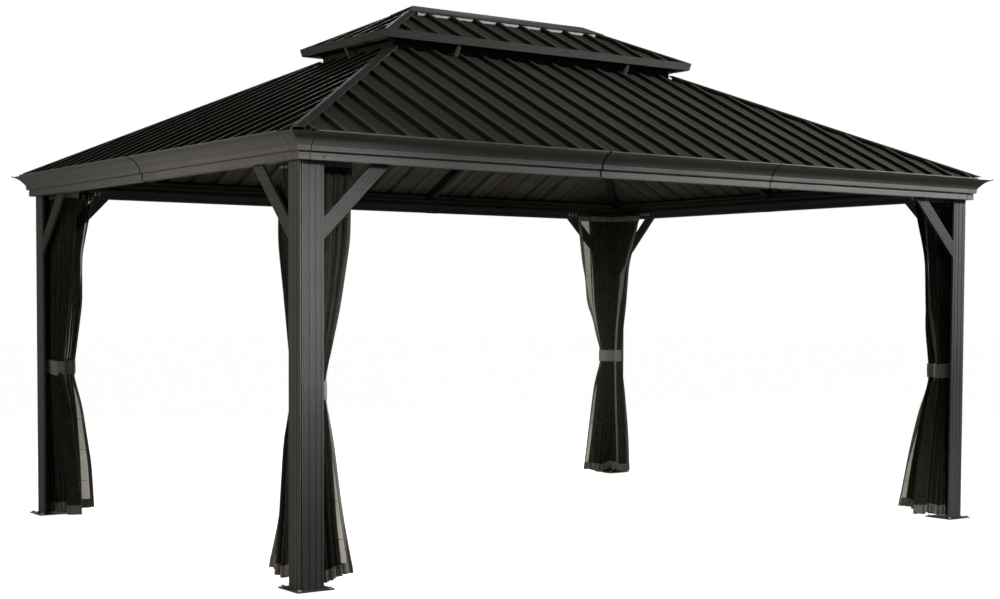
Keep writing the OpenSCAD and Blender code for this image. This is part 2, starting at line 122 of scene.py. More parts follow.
def start_finish(name, **values):
    """A new material with these values on its shader's sockets, and the place on the piece as a wire."""
    made = bpy.data.materials.new(name)
    made.use_nodes = True
    shader = made.node_tree.nodes["Principled BSDF"]
    for socket, value in values.items():
        shader.inputs[socket.replace("_", " ")].default_value = value
    return made, Wire(made.node_tree).node("ShaderNodeTexCoord", {}, {}, "Object")


def feed(made, **wires):
    """Links wires to the sockets of a material's shader."""
    shader = made.node_tree.nodes["Principled BSDF"]
    for socket, wire in wires.items():
        made.node_tree.links.new(wire.output, shader.inputs[socket.replace("_", " ")])


def shaded(colour, factor):
    """A colour made darker or lighter, with its alpha."""
    return (*(factor * part for part in colour), 1.0)


def powder_coat(name, colour, roughness, grain, shine=0.12):
    """Baked powder coat: soft mottling, faint lines along the drawn section, and a fine orange peel.

    grain is how many lines there are in a metre along X, Y and Z, least along the way the section is drawn.
    """
    made, place = start_finish(name, Specular_IOR_Level=shine)
    lines = place.times(grain).noise(1.0, 3.0)
    mottle = place.noise(0.35, 5.0)
    peel = place.noise(0.0022, 2.0)
    shade = ((lines - 0.5) * 0.9 + (mottle - 0.5) * 0.8 + 0.5).rising(0.1, 0.9)
    rough = (mottle - 0.5) * 0.16 + (lines - 0.5) * 0.12 + roughness
    feed(made, Base_Color=shade.between(shaded(colour, 0.78), shaded(colour, 1.24)), Roughness=rough,
         Normal=peel.bump(0.15, 0.0005))
    return made


def dress(names, material, round_edge=0.0):
    """Gives CAD nodes a material, and eases their edges by round_edge metres."""
    for name in names:
        piece = nodes[name]
        piece.data.materials.clear()
        piece.data.materials.append(material)
        if round_edge:
            piece.modifiers.new("joined", "WELD").merge_threshold = 0.00001
            eased = piece.modifiers.new("eased", "BEVEL")
            eased.width = round_edge
            eased.segments = 2
            eased.angle_limit = math.radians(25)


def grid_faces(rows, columns, close_columns=False):
    """The quads between neighbours on a grid of points that are numbered row by row."""
    row, column = np.meshgrid(np.arange(rows - 1), np.arange(columns - (not close_columns)), indexing="ij")
    next_column = (column + 1) % columns
    quads = [row * columns + column, row * columns + next_column,
             (row + 1) * columns + next_column, (row + 1) * columns + column]
    return np.stack(quads, -1).reshape(-1, 4)


def new_piece(name, points, faces, material, smooth=True):
    """A mesh piece in its place, riding on the frame."""
    mesh = bpy.data.meshes.new(name)
    mesh.from_pydata(np.asarray(points).reshape(-1, 3).tolist(), [], [list(face) for face in faces])
    mesh.materials.append(material)
    mesh.polygons.foreach_set("use_smooth", np.full(len(mesh.polygons), smooth))
    piece = bpy.data.objects.new(name, mesh)
    bpy.context.scene.collection.objects.link(piece)
    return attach(piece, "root")


def turned_copies(places, axes, rings):
    """Turned shapes, one at each place along its axis; rings are heights, and radii by ring and angle.

    A point is its place, plus its height times the axis, plus its radius times the cosine and the sine of its
    angle along two directions square to the axis.
    """
    height, radius = rings
    count, around = radius.shape
    angle = np.arange(around) * 2 * math.pi / around
    axes = np.asarray(axes, float)
    spare = np.where(np.abs(axes[:, 2:]) > 0.9, [[1.0, 0, 0]], [[0, 0, 1.0]])
    right = np.cross(spare, axes)
    right /= np.linalg.norm(right, axis=1, keepdims=True)
    up = np.cross(axes, right)
    flat = np.cos(angle)[:, None] * right[:, None, None, :] + np.sin(angle)[:, None] * up[:, None, None, :]
    points = (np.asarray(places, float)[:, None, None, :] + height[:, None, None] * axes[:, None, None, :]
              + radius[..., None] * flat)
    foot = list(range(around))[::-1]
    top = list(range((count - 1) * around, count * around))
    one = grid_faces(count, around, close_columns=True).tolist() + [foot, top]
    faces = [[n + copy * count * around for n in face] for copy in range(len(axes)) for face in one]
    return points, faces


FRAME_COLOUR = (0.113, 0.112, 0.109)
upright_coat = powder_coat("upright_coat", FRAME_COLOUR, 0.66, (90.0, 90.0, 0.5), 0.10)
dress([f"base_plate_{c}" for c in CORNERS], upright_coat, 0.0012)

zinc, place = start_finish("zinc_plate", Metallic=1.0)
feed(zinc, Base_Color=place.noise(0.006, 3.0).between((0.20, 0.20, 0.19, 1), (0.34, 0.335, 0.32, 1)),
     Roughness=place.noise(0.004, 3.0) * 0.3 + 0.3)

PLATE_TOP = 0.005
# How far in from the posts' outer faces a plate's middle lies, and how far from there its bolts stand
PLATE_IN = 0.060
BOLT_OFF = 0.080
# A bolt's points round its axis, then the sizes of its washer and its head
BOLT_POINTS = 24
WASHER_R = 0.0112
WASHER_T = 0.0020
HEAD_HALF = 0.0082
HEAD_TOP = 0.0082
HEAD_EASE = 0.0010
TOP_R = 0.0076
around = np.arange(BOLT_POINTS) * 2 * math.pi / BOLT_POINTS
# A hexagon's radius is half its width across flats over the cosine of the angle from a flat's middle
hexagon = HEAD_HALF / np.cos((around + math.pi / 6) % (math.pi / 3) - math.pi / 6)
washer = np.full(BOLT_POINTS, WASHER_R)
bolt_heights = np.array([0, WASHER_T, WASHER_T, HEAD_TOP - HEAD_EASE, HEAD_TOP])
bolt_radii = np.stack([washer, washer, hexagon, hexagon, np.full(BOLT_POINTS, TOP_R)])
bolt_places = []
for sx, sy in CORNERS.values():
    for dx in (-BOLT_OFF, BOLT_OFF):
        for dy in (-BOLT_OFF, BOLT_OFF):
            bolt_places.append((sx * (OUTER_X - PLATE_IN) + dx, sy * (OUTER_Y - PLATE_IN) + dy, PLATE_TOP))
bolt_axes = [(0, 0, 1)] * len(bolt_places)
bolts = turned_copies(bolt_places, bolt_axes, (bolt_heights, bolt_radii))
new_piece("anchor_bolts", *bolts, zinc, smooth=False)


# Posts: extruded aluminium angles with fluted outer faces and a slot down the chamfered corner.
# Powder coated dark grey, each is welded to its base plate and bolted to the beams.
dress([f"post_{c}" for c in CORNERS], upright_coat, 0.0015)

# Half-round pale strips along the slot's edges are a painted highlight, where the chamfer's edges catch the
# light
painted_edge_highlight, place = start_finish("painted_edge_highlight", Specular_IOR_Level=0.15)
drawn = place.times((90.0, 90.0, 0.5)).noise(1.0, 3.0)
feed(painted_edge_highlight, Base_Color=drawn.between((0.22, 0.22, 0.215, 1), (0.44, 0.44, 0.43, 1)),
     Roughness=place.noise(0.01, 3.0) * 0.2 + 0.5)
# How far in from the posts' outer faces the chamfer's middle lies, and how far from there the strips run
CHAMFER_IN = 0.006
BEAD_OFF = 0.0043
BEAD_R = 0.0013
BEAD_LIFT = 0.0001
BEAD_ENDS = (0.006, 1.969)
bead_angle = np.linspace(0, math.pi, 9)
out = BEAD_R * np.sin(bead_angle) + BEAD_LIFT
beads = []
for sx, sy in CORNERS.values():
    for side in (-1, 1):
        along = side * BEAD_OFF + BEAD_R * np.cos(bead_angle)
        x = sx * (OUTER_X - CHAMFER_IN + (along + out) / math.sqrt(2))
        y = sy * (OUTER_Y - CHAMFER_IN + (out - along) / math.sqrt(2))
        beads.append([np.stack([x, y, np.full(len(x), z)], -1) for z in BEAD_ENDS])
bead_faces = [grid_faces(2, len(bead_angle)) + 2 * len(bead_angle) * k for k in range(len(beads))]
new_piece("slot_beads", beads, np.concatenate(bead_faces), painted_edge_highlight)


# Beams and knee braces: extruded aluminium box sections, the braces fluted and cut at 45 degrees.
# Coated like the posts; the beams run between the posts and steel brackets join their lengths.
along_coat = {"x": powder_coat("beam_coat_x", FRAME_COLOUR, 0.80, (0.5, 90.0, 90.0), 0.06),
              "y": powder_coat("beam_coat_y", FRAME_COLOUR, 0.80, (90.0, 0.5, 90.0), 0.06)}
dress(["beam_front", "beam_back"], along_coat["x"], 0.0015)
dress(["beam_left", "beam_right"], along_coat["y"], 0.0015)
dress(["beam_brackets"], along_coat["x"], 0.0006)
dress([f"long_brace_{c}" for c in CORNERS], along_coat["x"], 0.0012)
dress([f"short_brace_{c}" for c in CORNERS], along_coat["y"], 0.0012)


# Cornice: an aluminium moulding with two bands, a cove and a thin lip, in lengths with mitred corner caps.
# Its coat is lighter and a little warmer than the frame's. Small dark screws fix it by the corners, and black
# seals fill the joints between its lengths.
CORNICE_COLOUR = (0.190, 0.187, 0.179)
cornice_coat = {"x": powder_coat("cornice_coat_x", CORNICE_COLOUR, 0.70, (0.4, 70.0, 70.0), 0.09),
                "y": powder_coat("cornice_coat_y", CORNICE_COLOUR, 0.70, (70.0, 0.4, 70.0), 0.09)}
dress(["cornice_front", "cornice_back", "cornice_corners"], cornice_coat["x"], 0.0006)
dress(["cornice_left", "cornice_right"], cornice_coat["y"], 0.0006)

blackened, place = start_finish("blackened_screw", Metallic=0.6)
feed(blackened, Base_Color=place.noise(0.004, 2.0).between((0.018, 0.017, 0.016, 1), (0.045, 0.043, 0.04, 1)),
     Roughness=place.noise(0.003, 2.0) * 0.25 + 0.35)
SCREW_POINTS = 14
screw_heights = np.array([0, 0.0012, 0.0021, 0.0025])
screw_radii = np.outer([0.0052, 0.0050, 0.0036, 0.0014], np.ones(SCREW_POINTS))
# How far out from the posts' faces the lower band stands, and how far from the corner its screws sit
BAND_OUT = 0.0283
SCREW_ALONG = 0.105
BEAM_FOOT = 1.970
SCREW_Z = BEAM_FOOT + 0.016
screw_places = []
screw_axes = []
for sx, sy in CORNERS.values():
    screw_places.append((sx * (OUTER_X - SCREW_ALONG), sy * (OUTER_Y + BAND_OUT), SCREW_Z))
    screw_axes.append((0, sy, 0))
    screw_places.append((sx * (OUTER_X + BAND_OUT), sy * (OUTER_Y - SCREW_ALONG), SCREW_Z))
    screw_axes.append((sx, 0, 0))
screws = turned_copies(screw_places, screw_axes, (screw_heights, screw_radii))
new_piece("cornice_screws", *screws, blackened)


def to_side(side, along, off):
    """Plan places on a side: along it from its middle, and off from the middle of the plan."""
    places = {"front": (along, -off), "right": (off, along), "back": (-along, off), "left": (-off, -along)}
    return places[side]


black_seal, place = start_finish("black_seal", Specular_IOR_Level=0.05)
rubber = place.noise(0.01, 3.0)
feed(black_seal, Base_Color=rubber.between((0.004, 0.004, 0.004, 1), (0.012, 0.0115, 0.011, 1)),
     Roughness=place.noise(0.004, 2.0) * 0.2 + 0.7)
# The moulding's outline, out from the posts' faces and up from the beams' foot, as shares of its size
CORNICE_SIZE = (0.110, 0.127)
foot_shares = [(0.255, 0), (0.255, 0.25), (0.235, 0.262), (0.235, 0.29), (0.362, 0.312), (0.388, 0.462),
               (0.37, 0.48)]
lip_shares = [(1.0, 0.955), (1.0, 1.0)]
step = np.linspace(0, 1, 9)[:, None]
cove_shares = ((1 - step) ** 2 * (0.38, 0.495) + 2 * step * (1 - step) * (0.66, 0.875)
               + step ** 2 * (0.93, 0.915))
outline = np.concatenate([foot_shares, cove_shares, lip_shares]) * CORNICE_SIZE
run = np.gradient(outline, axis=0)
outward = np.stack([run[:, 1], -run[:, 0]], -1) / np.linalg.norm(run, axis=1, keepdims=True)
# How far the seals stand out of the moulding, and how far they go into it
SEAL_PROUD = 0.0009
# Each seal's side, where its joint is along it, and how wide the joint is
SEAL_PLACES = [("front", -0.605, 0.011), ("front", 0.605, 0.0075), ("back", -0.605, 0.0075),
               ("back", 0.605, 0.0075), ("left", 0.0, 0.013), ("right", 0.0, 0.0075)]
seals = []
for side, middle, wide in SEAL_PLACES:
    face = OUTER_Y if side in ("front", "back") else OUTER_X
    rows = []
    for shift, lift in ((-1, -SEAL_PROUD), (-1, SEAL_PROUD), (1, SEAL_PROUD), (1, -SEAL_PROUD)):
        out, up = (outline + lift * outward).T
        x, y = to_side(side, np.full(len(out), middle + shift * wide / 2), face + out)
        rows.append(np.stack([x, y, BEAM_FOOT + up], -1))
    seals.append(rows)
seal_faces = [grid_faces(4, len(outline)) + 4 * len(outline) * k for k in range(len(seals))]
new_piece("joint_seals", seals, np.concatenate(seal_faces), black_seal, smooth=False)


# Rafters, vent curb, struts and upper fascia: folded and coated steel, screwed together.
# The rafters are near black; the curb's near-black coat is a painted shade for the shadow under the fascia.
# The fascia leans out a little, on short struts over the vent.
strut_coat = powder_coat("rafter_coat", FRAME_COLOUR, 0.48, (22.0, 22.0, 22.0))
dress(["vent_struts"], strut_coat, 0.001)
dark_steel_and_curb_shade = powder_coat("dark_steel_coat", (0.030, 0.028, 0.026), 0.75, (22.0, 22.0, 22.0), 0.04)
dress(["hip_rafters", "common_rafters", "vent_curb"], dark_steel_and_curb_shade, 0.001)
fascia_coat = powder_coat("fascia_coat", (0.094, 0.093, 0.088), 0.66, (14.0, 14.0, 70.0), 0.06)
dress(["upper_fascia"], fascia_coat, 0.001)


# Roof sheets and their hip and ridge caps: ribbed galvanised steel with a baked dark brown coat.
# Rain leaves faint pale streaks down the slopes; the ribs' crowns carry a painted highlight and their
# flanks a painted shade.
PITCH = math.radians(25.9)
RISE = math.tan(PITCH)
# Each slope's half length, its eave's distance from the middle of the plan, and its last rib's place
LOWER_SLOPES = {"front": (2.44, 1.81, 2.295), "right": (1.81, 2.44, 1.615),
                "back": (2.44, 1.81, 2.295), "left": (1.81, 2.44, 1.615)}
UPPER_SLOPES = {"front": (1.129, 0.499, 0.935), "right": (0.499, 1.129, 0.425),
                "back": (1.129, 0.499, 0.935), "left": (0.499, 1.129, 0.425)}
# The height of the pans at the eaves
LOWER_TIP_Z = 2.06388
UPPER_TIP_Z = 2.81384
AXIS_X = (1, 0, 0)
AXIS_Y = (0, 1, 0)
AXIS_Z = (0, 0, 1)


def roof_coat(name, streaks, shade_tone=1.0, slope=None, crown_highlight=(0, 0, 0), flank=(0, 0, 0), polish=0.0):
    """Baked sheet coat: streaks down the slope, soft mottling, slow waves in the pans and a paler underside.

    streaks is how many streaks there are in a metre along X, Y and Z; a tone below 1 darkens the colour as a
    painted shade. A slope is the axis that points to the eave, the axis along it, its distance from the
    middle and the pans' height there. What is 14 mm and more over the pans takes the crown's colour, a
    painted highlight, and the polish; what faces along the eave takes the flank's colour, a painted shade.
    """
    made, place = start_finish(name, Specular_IOR_Level=0.008, Coat_Roughness=0.32, Coat_Weight=polish)
    streak = place.times(streaks).noise(1.0, 4.0)
    mottle = place.noise(0.22, 6.0)
    wave = place.noise(0.45, 1.0)
    speck = place.noise(0.0035, 2.0)
    shade = ((streak - 0.5) * 1.1 + (mottle - 0.5) * 0.7 + 0.5).rising(0.05, 0.95)
    facing = place.node("ShaderNodeTexCoord", {}, {}, "Normal")
    below = 1.0 - facing.part(AXIS_Z).rising(-0.3, 0.0)
    rough = (mottle - 0.5) * 0.2 + (streak - 0.5) * 0.12 - below * 0.1 + 0.66
    top = shade.between(shaded((0.026, 0.0245, 0.0208), shade_tone), shaded((0.054, 0.0513, 0.0443), shade_tone))
    if slope:
        out, along, reach, level = slope
        over_pan = place.part(AXIS_Z) + place.part(out).size() * RISE - (level + reach * RISE)
        # Crowns 14 mm over the pans are painted paler as a painted highlight, and faces along the eave darker
        # as a painted shade
        highlight_mask = over_pan.rising(0.014, 0.019) * (shade * 0.5 + 0.5)
        top = highlight_mask.between(top, (*crown_highlight, 1))
        feed(made, Coat_Weight=highlight_mask * polish)
        top = facing.part(along).size().rising(0.3, 0.6).between(top, (*flank, 1))
    backer = shade.between((0.088, 0.082, 0.070, 1), (0.270, 0.253, 0.218, 1))
    feed(made, Base_Color=below.between(top, backer), Roughness=rough,
         Normal=(wave + speck * 0.06).bump(0.35, 0.004))
    return made


STREAKS_DOWN_Y = (34.0, 0.7, 0.7)
STREAKS_DOWN_X = (0.7, 34.0, 0.7)
# For each slope's ribs: the painted highlight colour on the crowns and the painted shade colour on the flanks
LONG_RIBS = {"crown_highlight": (0.060, 0.057, 0.050), "flank": (0.018, 0.017, 0.0145), "polish": 0.02}
SHORT_RIBS = {"crown_highlight": (0.150, 0.143, 0.127), "flank": (0.010, 0.0094, 0.008), "polish": 0.06}
for level, slopes, tip_z in (("lower", LOWER_SLOPES, LOWER_TIP_Z), ("upper", UPPER_SLOPES, UPPER_TIP_Z)):
    long_slope = (AXIS_Y, AXIS_X, slopes["front"][1], tip_z)
    short_slope = (AXIS_X, AXIS_Y, slopes["right"][1], tip_z)
    dress([f"{level}_roof_front", f"{level}_roof_back"],
          roof_coat(f"{level}_coat_y", STREAKS_DOWN_Y, slope=long_slope, **LONG_RIBS))
    dress([f"{level}_roof_left", f"{level}_roof_right"],
          roof_coat(f"{level}_coat_x", STREAKS_DOWN_X, slope=short_slope, **SHORT_RIBS))
# The hip caps take the sheets' coat darkened to 0.55 of its colour, a painted shade
hip_cap_shaded_coat = roof_coat("hip_cap_shaded_coat", (6.0, 6.0, 30.0), shade_tone=0.55, polish=0.03)
dress(["lower_hip_caps", "upper_hip_caps"], hip_cap_shaded_coat, 0.0008)
ridge_coat = powder_coat("ridge_coat", (0.046, 0.044, 0.041), 0.60, (0.6, 40.0, 40.0), 0.05)
dress(["ridge_cap"], ridge_coat, 0.0008)


# Net rails: slim dark anodised aluminium tracks screwed to the beams' inner faces.
# White plastic gliders run in them and carry the nets.
rail_anodise = powder_coat("rail_anodise", (0.05, 0.049, 0.046), 0.34, (40.0, 40.0, 60.0))
dress(["net_rails"], rail_anodise, 0.001)


# Nets: eight dark mesh curtains, one to each half of a side, drawn back to the posts in deep folds.
# They are polyester mesh, with woven tape sewn along the top, the hem and the leading edge, and hang from the
# gliders.
NET_HEIGHTS = (0.020, 0.30, 0.65, 0.87, 0.96, 1.30, 1.60, 1.99)
# How far each net reaches from its post's outer face at those heights
LONG_REACH = {"front_left": (0.332, 0.280, 0.220, 0.164, 0.162, 0.248, 0.302, 0.308),
              "back_right": (0.372, 0.335, 0.268, 0.190, 0.190, 0.325, 0.388, 0.434),
              "back_left": (0.336, 0.318, 0.268, 0.208, 0.226, 0.268, 0.270, 0.350),
              "front_right": (0.300, 0.270, 0.220, 0.170, 0.172, 0.238, 0.262, 0.300)}
SHORT_REACH = {"front_left": (0.478, 0.394, 0.316, 0.200, 0.195, 0.250, 0.318, 0.340),
               "back_right": (0.263, 0.247, 0.196, 0.146, 0.150, 0.212, 0.247, 0.400),
               "back_left": (0.400, 0.350, 0.280, 0.225, 0.225, 0.270, 0.300, 0.380),
               "front_right": (0.440, 0.372, 0.275, 0.208, 0.218, 0.231, 0.235, 0.340)}
# Where each net starts, and its leading flap as a share of its width, below 0 where it is turned back
LONG_START = (0.045,) * len(NET_HEIGHTS)
SHORT_START = (0.138, 0.136, 0.124, 0.108, 0.108, 0.124, 0.136, 0.138)
LONG_FLAP = {"front_left": (0.30, 0.28, 0.18, 0.05, 0.05, -0.10, -0.25, -0.20),
             "back_right": (0.22, 0.25, 0.20, 0.08, 0.08, 0.25, 0.32, 0.30),
             "back_left": (0.28, 0.28, 0.22, 0.10, 0.05, 0.05, 0.06, 0.06),
             "front_right": (-0.20, -0.20, -0.15, -0.05, 0.05, 0.15, 0.18, 0.06)}
SHORT_FLAP = {"front_left": (0.30, 0.28, 0.20, 0.05, 0.05, 0.05, 0.06, 0.06),
              "back_right": (-0.40, -0.45, -0.50, -0.55, -0.55, -0.28, -0.03, 0.05),
              "back_left": (-0.25,) * len(NET_HEIGHTS),
              "front_right": (0.32, 0.30, 0.25, 0.08, 0.05, 0.05, 0.06, 0.06)}
NET_REACH = {"long": LONG_REACH, "short": SHORT_REACH}
NET_START = {"long": LONG_START, "short": SHORT_START}
NET_FLAP = {"long": LONG_FLAP, "short": SHORT_FLAP}
# How deep the folds are at those heights
NET_DEPTH = (0.090, 0.088, 0.074, 0.050, 0.050, 0.074, 0.088, 0.090)
# The flat cloth's width and height, and the count of its folds
NET_FLAT = {"long": (2.21, 1.97), "short": (1.58, 1.97)}
NET_FOLDS = {"long": 12, "short": 9}
HEM_Z = NET_HEIGHTS[0]
NET_TOP = NET_HEIGHTS[-1]
# How far in from the posts' outer faces the folds begin
NET_IN = 0.045


def at_height(values, height):
    """Values given at NET_HEIGHTS, joined by straight lines that are then smoothed over 100 mm."""
    shifts = np.linspace(-0.05, 0.05, 9)
    return np.mean([np.interp(height + shift, NET_HEIGHTS, values) for shift in shifts], axis=0)


def into_corner(corner, side, along, inward, height):
    """World places from distances along a side and inward from it, both from the post's outer corner."""
    sx, sy = CORNERS[corner]
    if side == "long":
        return np.stack([sx * (OUTER_X - along), sy * (OUTER_Y - inward), height], -1)
    return np.stack([sx * (OUTER_X - inward), sy * (OUTER_Y - along), height], -1)


def blunt(wave, power):
    """A sine or cosine raised to a power below 1 with its sign kept, which squares its round shape off."""
    return np.sign(wave) * np.abs(wave) ** power


def net_surface(corner, side, across, height):
    """Places on a gathered net; across is 0 at the post and 1 at the leading edge.

    Along the side the cloth runs from the post to its reach at that height. Its last part, as much cloth as
    the flap is wide, hangs flat or lies turned back over the folds. The rest swings over the net's depth as
    a cosine of its count of folds. Slow sines of both parameters make some folds deep and some shallow, and
    lean them as they fall.
    """
    across, height = np.broadcast_arrays(across[None, :], height[:, None])
    start = at_height(NET_START[side], height)
    width = at_height(NET_REACH[side][corner], height) - start
    depth = at_height(NET_DEPTH, height)
    flap = at_height(NET_FLAP[side][corner], height)
    cloth_width = NET_FLAT[side][0]
    folds = NET_FOLDS[side]
    seed = 1.7 * list(CORNERS).index(corner) + (0.9 if side == "long" else 0.0)
    # The share of the cloth that is gathered; the flap takes the rest, with a little slack
    gathered = 1 - 1.06 * np.abs(flap) * width / cloth_width
    share = across / gathered
    drift = (0.16 * np.sin(5.1 * share + 2.3 * height + seed)
             + 0.10 * np.sin(11.3 * share - 1.9 * height + 2 * seed))
    fold = folds * share + drift + 0.35 * np.sin(1.1 * height + seed) * share
    in_flap = np.clip((share - 1) / 0.012 + 0.5, 0, 1)
    fullness = 0.80 + 0.20 * np.sin(2.7 * folds * share + 1.3 * height + 3 * seed)
    swing = blunt(np.cos(2 * math.pi * fold), 0.8)
    # A hanging flap ripples in the middle of the depth, and a turned one lies past the folds
    ripple = 0.10 * np.sin(90 * (share - 1) * cloth_width + 3.1 * height + seed)
    turned = np.clip(-flap / 0.05, 0, 1)
    laid_at = turned * 0.53 + (1 - turned) * ripple
    inward = NET_IN + depth * (0.5 + 0.5 * fullness * swing * (1 - in_flap) + laid_at * in_flap)
    lean = 0.30 * width / folds * np.sin(4 * math.pi * fold + seed) * (1 - in_flap)
    spread = 1 - np.maximum(flap, 0)
    last = np.clip((across - gathered) / np.maximum(1 - gathered, 1e-6), 0, 1)
    laid = np.where(share < 1, share * spread, spread + flap * last)
    along = start + width * (0.03 + 0.97 * laid) + lean
    # Below half a metre the hem sags unevenly
    sag = 0.012 * np.sin(7.0 * share + seed) * np.clip((0.5 - height) / 0.48, 0, 1)
    return into_corner(corner, side, np.clip(along, start, start + width), inward, height + sag - sag.min())


def sheet_piece(name, grids, material, smooth=True):
    """One mesh from grids of places, each with its own grid of cloth coordinates in metres."""
    points = np.concatenate([places.reshape(-1, 3) for places, _ in grids])
    cloth = np.concatenate([flat.reshape(-1, 2) for _, flat in grids])
    faces = []
    first = 0
    for places, _ in grids:
        faces.append(grid_faces(*places.shape[:2]) + first)
        first += places.shape[0] * places.shape[1]
    piece = new_piece(name, points, np.concatenate(faces), material, smooth)
    corners_of_faces = np.empty(len(piece.data.loops), int)
    piece.data.loops.foreach_get("vertex_index", corners_of_faces)
    layer = piece.data.uv_layers.new(name="cloth")
    layer.data.foreach_set("uv", cloth[corners_of_faces].astype(np.float32).ravel())
    return piece


def thicken(piece, thickness):
    """Gives a sheet its thickness, half to each side."""
    solid = piece.modifiers.new("thick", "SOLIDIFY")
    solid.thickness = thickness
    solid.offset = 0


def with_cloth(corner, side, across, height):
    """A grid of a net's places, with its cloth coordinates."""
    flat = np.stack(np.meshgrid(across * NET_FLAT[side][0], height, indexing="xy"), -1)
    return net_surface(corner, side, across, height), flat


def cloth_place(made):
    """The cloth coordinates in metres as a wire, then those across and up as two more."""
    cloth = Wire(made.node_tree).node("ShaderNodeUVMap", {"uv_map": "cloth"}, {})
    parts = cloth.node("ShaderNodeSeparateXYZ", {}, {"Vector": cloth}).output.node.outputs
    return cloth, Wire(made.node_tree, parts["X"]), Wire(made.node_tree, parts["Y"])


def threads(wire, pitch):
    """1 on the threads and 0 between them, for threads pitch metres apart."""
    return wire.maths("SINE", wire * (2 * math.pi / pitch), 0.0) * 0.5 + 0.5


MESH_PITCH = 0.0024
CREASE_PITCH = 0.19
net_mesh, _ = start_finish("net_mesh", Roughness=0.85, Specular_IOR_Level=0.15, Sheen_Weight=0.08)
cloth, across, up = cloth_place(net_mesh)
weave = across.maths("MAXIMUM", threads(across, MESH_PITCH), threads(up, MESH_PITCH))
crease = 1.0 - across.maths("SINE", up * (math.pi / CREASE_PITCH), 0.0).size().rising(0.0, 0.10)
worn = cloth.noise(0.12, 4.0)
feed(net_mesh, Base_Color=worn.between((0.032, 0.0296, 0.025, 1), (0.064, 0.059, 0.050, 1)),
     Normal=weave.bump(0.3, 0.0004))
# Between its threads the mesh lets through light that their fuzz tints
filled = weave * 0.18 + crease * 0.10 + worn * 0.14 + 0.58
gaps = filled.node("ShaderNodeBsdfTransparent", {}, {"Color": (0.88, 0.84, 0.72, 1)})
yarn = Wire(net_mesh.node_tree, net_mesh.node_tree.nodes["Principled BSDF"].outputs["BSDF"])
woven = filled.node("ShaderNodeMixShader", {}, {0: filled, 1: gaps, 2: yarn})
net_mesh.node_tree.links.new(woven.output, net_mesh.node_tree.nodes["Material Output"].inputs["Surface"])

TAPE_PITCH = 0.003
net_tape, _ = start_finish("net_tape", Roughness=0.8, Specular_IOR_Level=0.25, Sheen_Weight=0.15)
cloth, across, up = cloth_place(net_tape)
weave = threads(across + up, TAPE_PITCH) * threads(across - up, TAPE_PITCH)
shade = weave * 0.6 + cloth.noise(0.05, 4.0) * 0.6
feed(net_tape, Base_Color=shade.between((0.19, 0.185, 0.170, 1), (0.41, 0.40, 0.37, 1)),
     Normal=weave.bump(0.5, 0.0006))

# How wide the tapes are, the gap between them, and how thick they are
HEM_TAPE = 0.055
EDGE_TAPE = 0.022
TOP_TAPE = 0.040
TAPE_GAP = 0.001
TAPE_T = 0.0024
# The grid's columns to a fold, and its rows
FOLD_COLUMNS = 22
NET_ROWS = 66
hem_rows = np.linspace(HEM_Z, HEM_Z + HEM_TAPE, 5)
edge_rows = np.linspace(HEM_Z + HEM_TAPE + TAPE_GAP, NET_TOP - TOP_TAPE - TAPE_GAP, 60)
top_rows = np.linspace(NET_TOP - TOP_TAPE, NET_TOP, 4)
net_rows = np.linspace(HEM_Z, NET_TOP, NET_ROWS)
net_pieces = {}
for corner in CORNERS:
    for side in ("long", "short"):
        columns = np.linspace(0, 1, FOLD_COLUMNS * NET_FOLDS[side] + 1)
        edge = np.linspace(1 - EDGE_TAPE / NET_FLAT[side][0], 1, 5)
        net = sheet_piece(f"net_{side}_{corner}", [with_cloth(corner, side, columns, net_rows)], net_mesh)
        bindings = sheet_piece(f"net_tape_{side}_{corner}", [
            with_cloth(corner, side, columns, hem_rows),
            with_cloth(corner, side, edge, edge_rows),
            with_cloth(corner, side, columns, top_rows)], net_tape)
        thicken(bindings, TAPE_T)
        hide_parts(f"nets_{corner}")
        net_pieces[corner, side] = net, bindings


# Ties: flat grey webbing bands round the waist of each net, their ends lapped one over the other.
# They are soft and lie a little askew where the net is heavier on one side.
tie_band, _ = start_finish("tie_band", Roughness=0.75, Specular_IOR_Level=0.3, Sheen_Weight=0.1)
cloth, across, up = cloth_place(tie_band)
weave = threads(across * 0.6 + up, 0.0034) * 0.7 + threads(across, 0.005) * 0.3
shade = weave * 0.5 + cloth.noise(0.03, 4.0) * 0.6
feed(tie_band, Base_Color=shade.between((0.17, 0.166, 0.155, 1), (0.40, 0.392, 0.372, 1)),
     Normal=weave.bump(0.5, 0.0007))
TIE_Z = 0.915
TIE_HEIGHT = 0.088
TIE_T = 0.0018
# The way once round a waist, and how many times round a tie goes
TIE_ROUND = 0.45
TIE_TURNS = 1.14
# How far a tie stands off the net, how much further its lapped end does, and how deep its webbing waves
TIE_OFF = 0.0028
TIE_LAP = 0.0026
TIE_WAVE = 0.0012
# How steeply each tie rises along its side, and how far from the post's outer face it is at its own height
TIE_TILT = {"front_left": 0.02, "front_right": -0.03, "back_left": -0.05, "back_right": 0.04}
TIE_PIVOT = 0.14


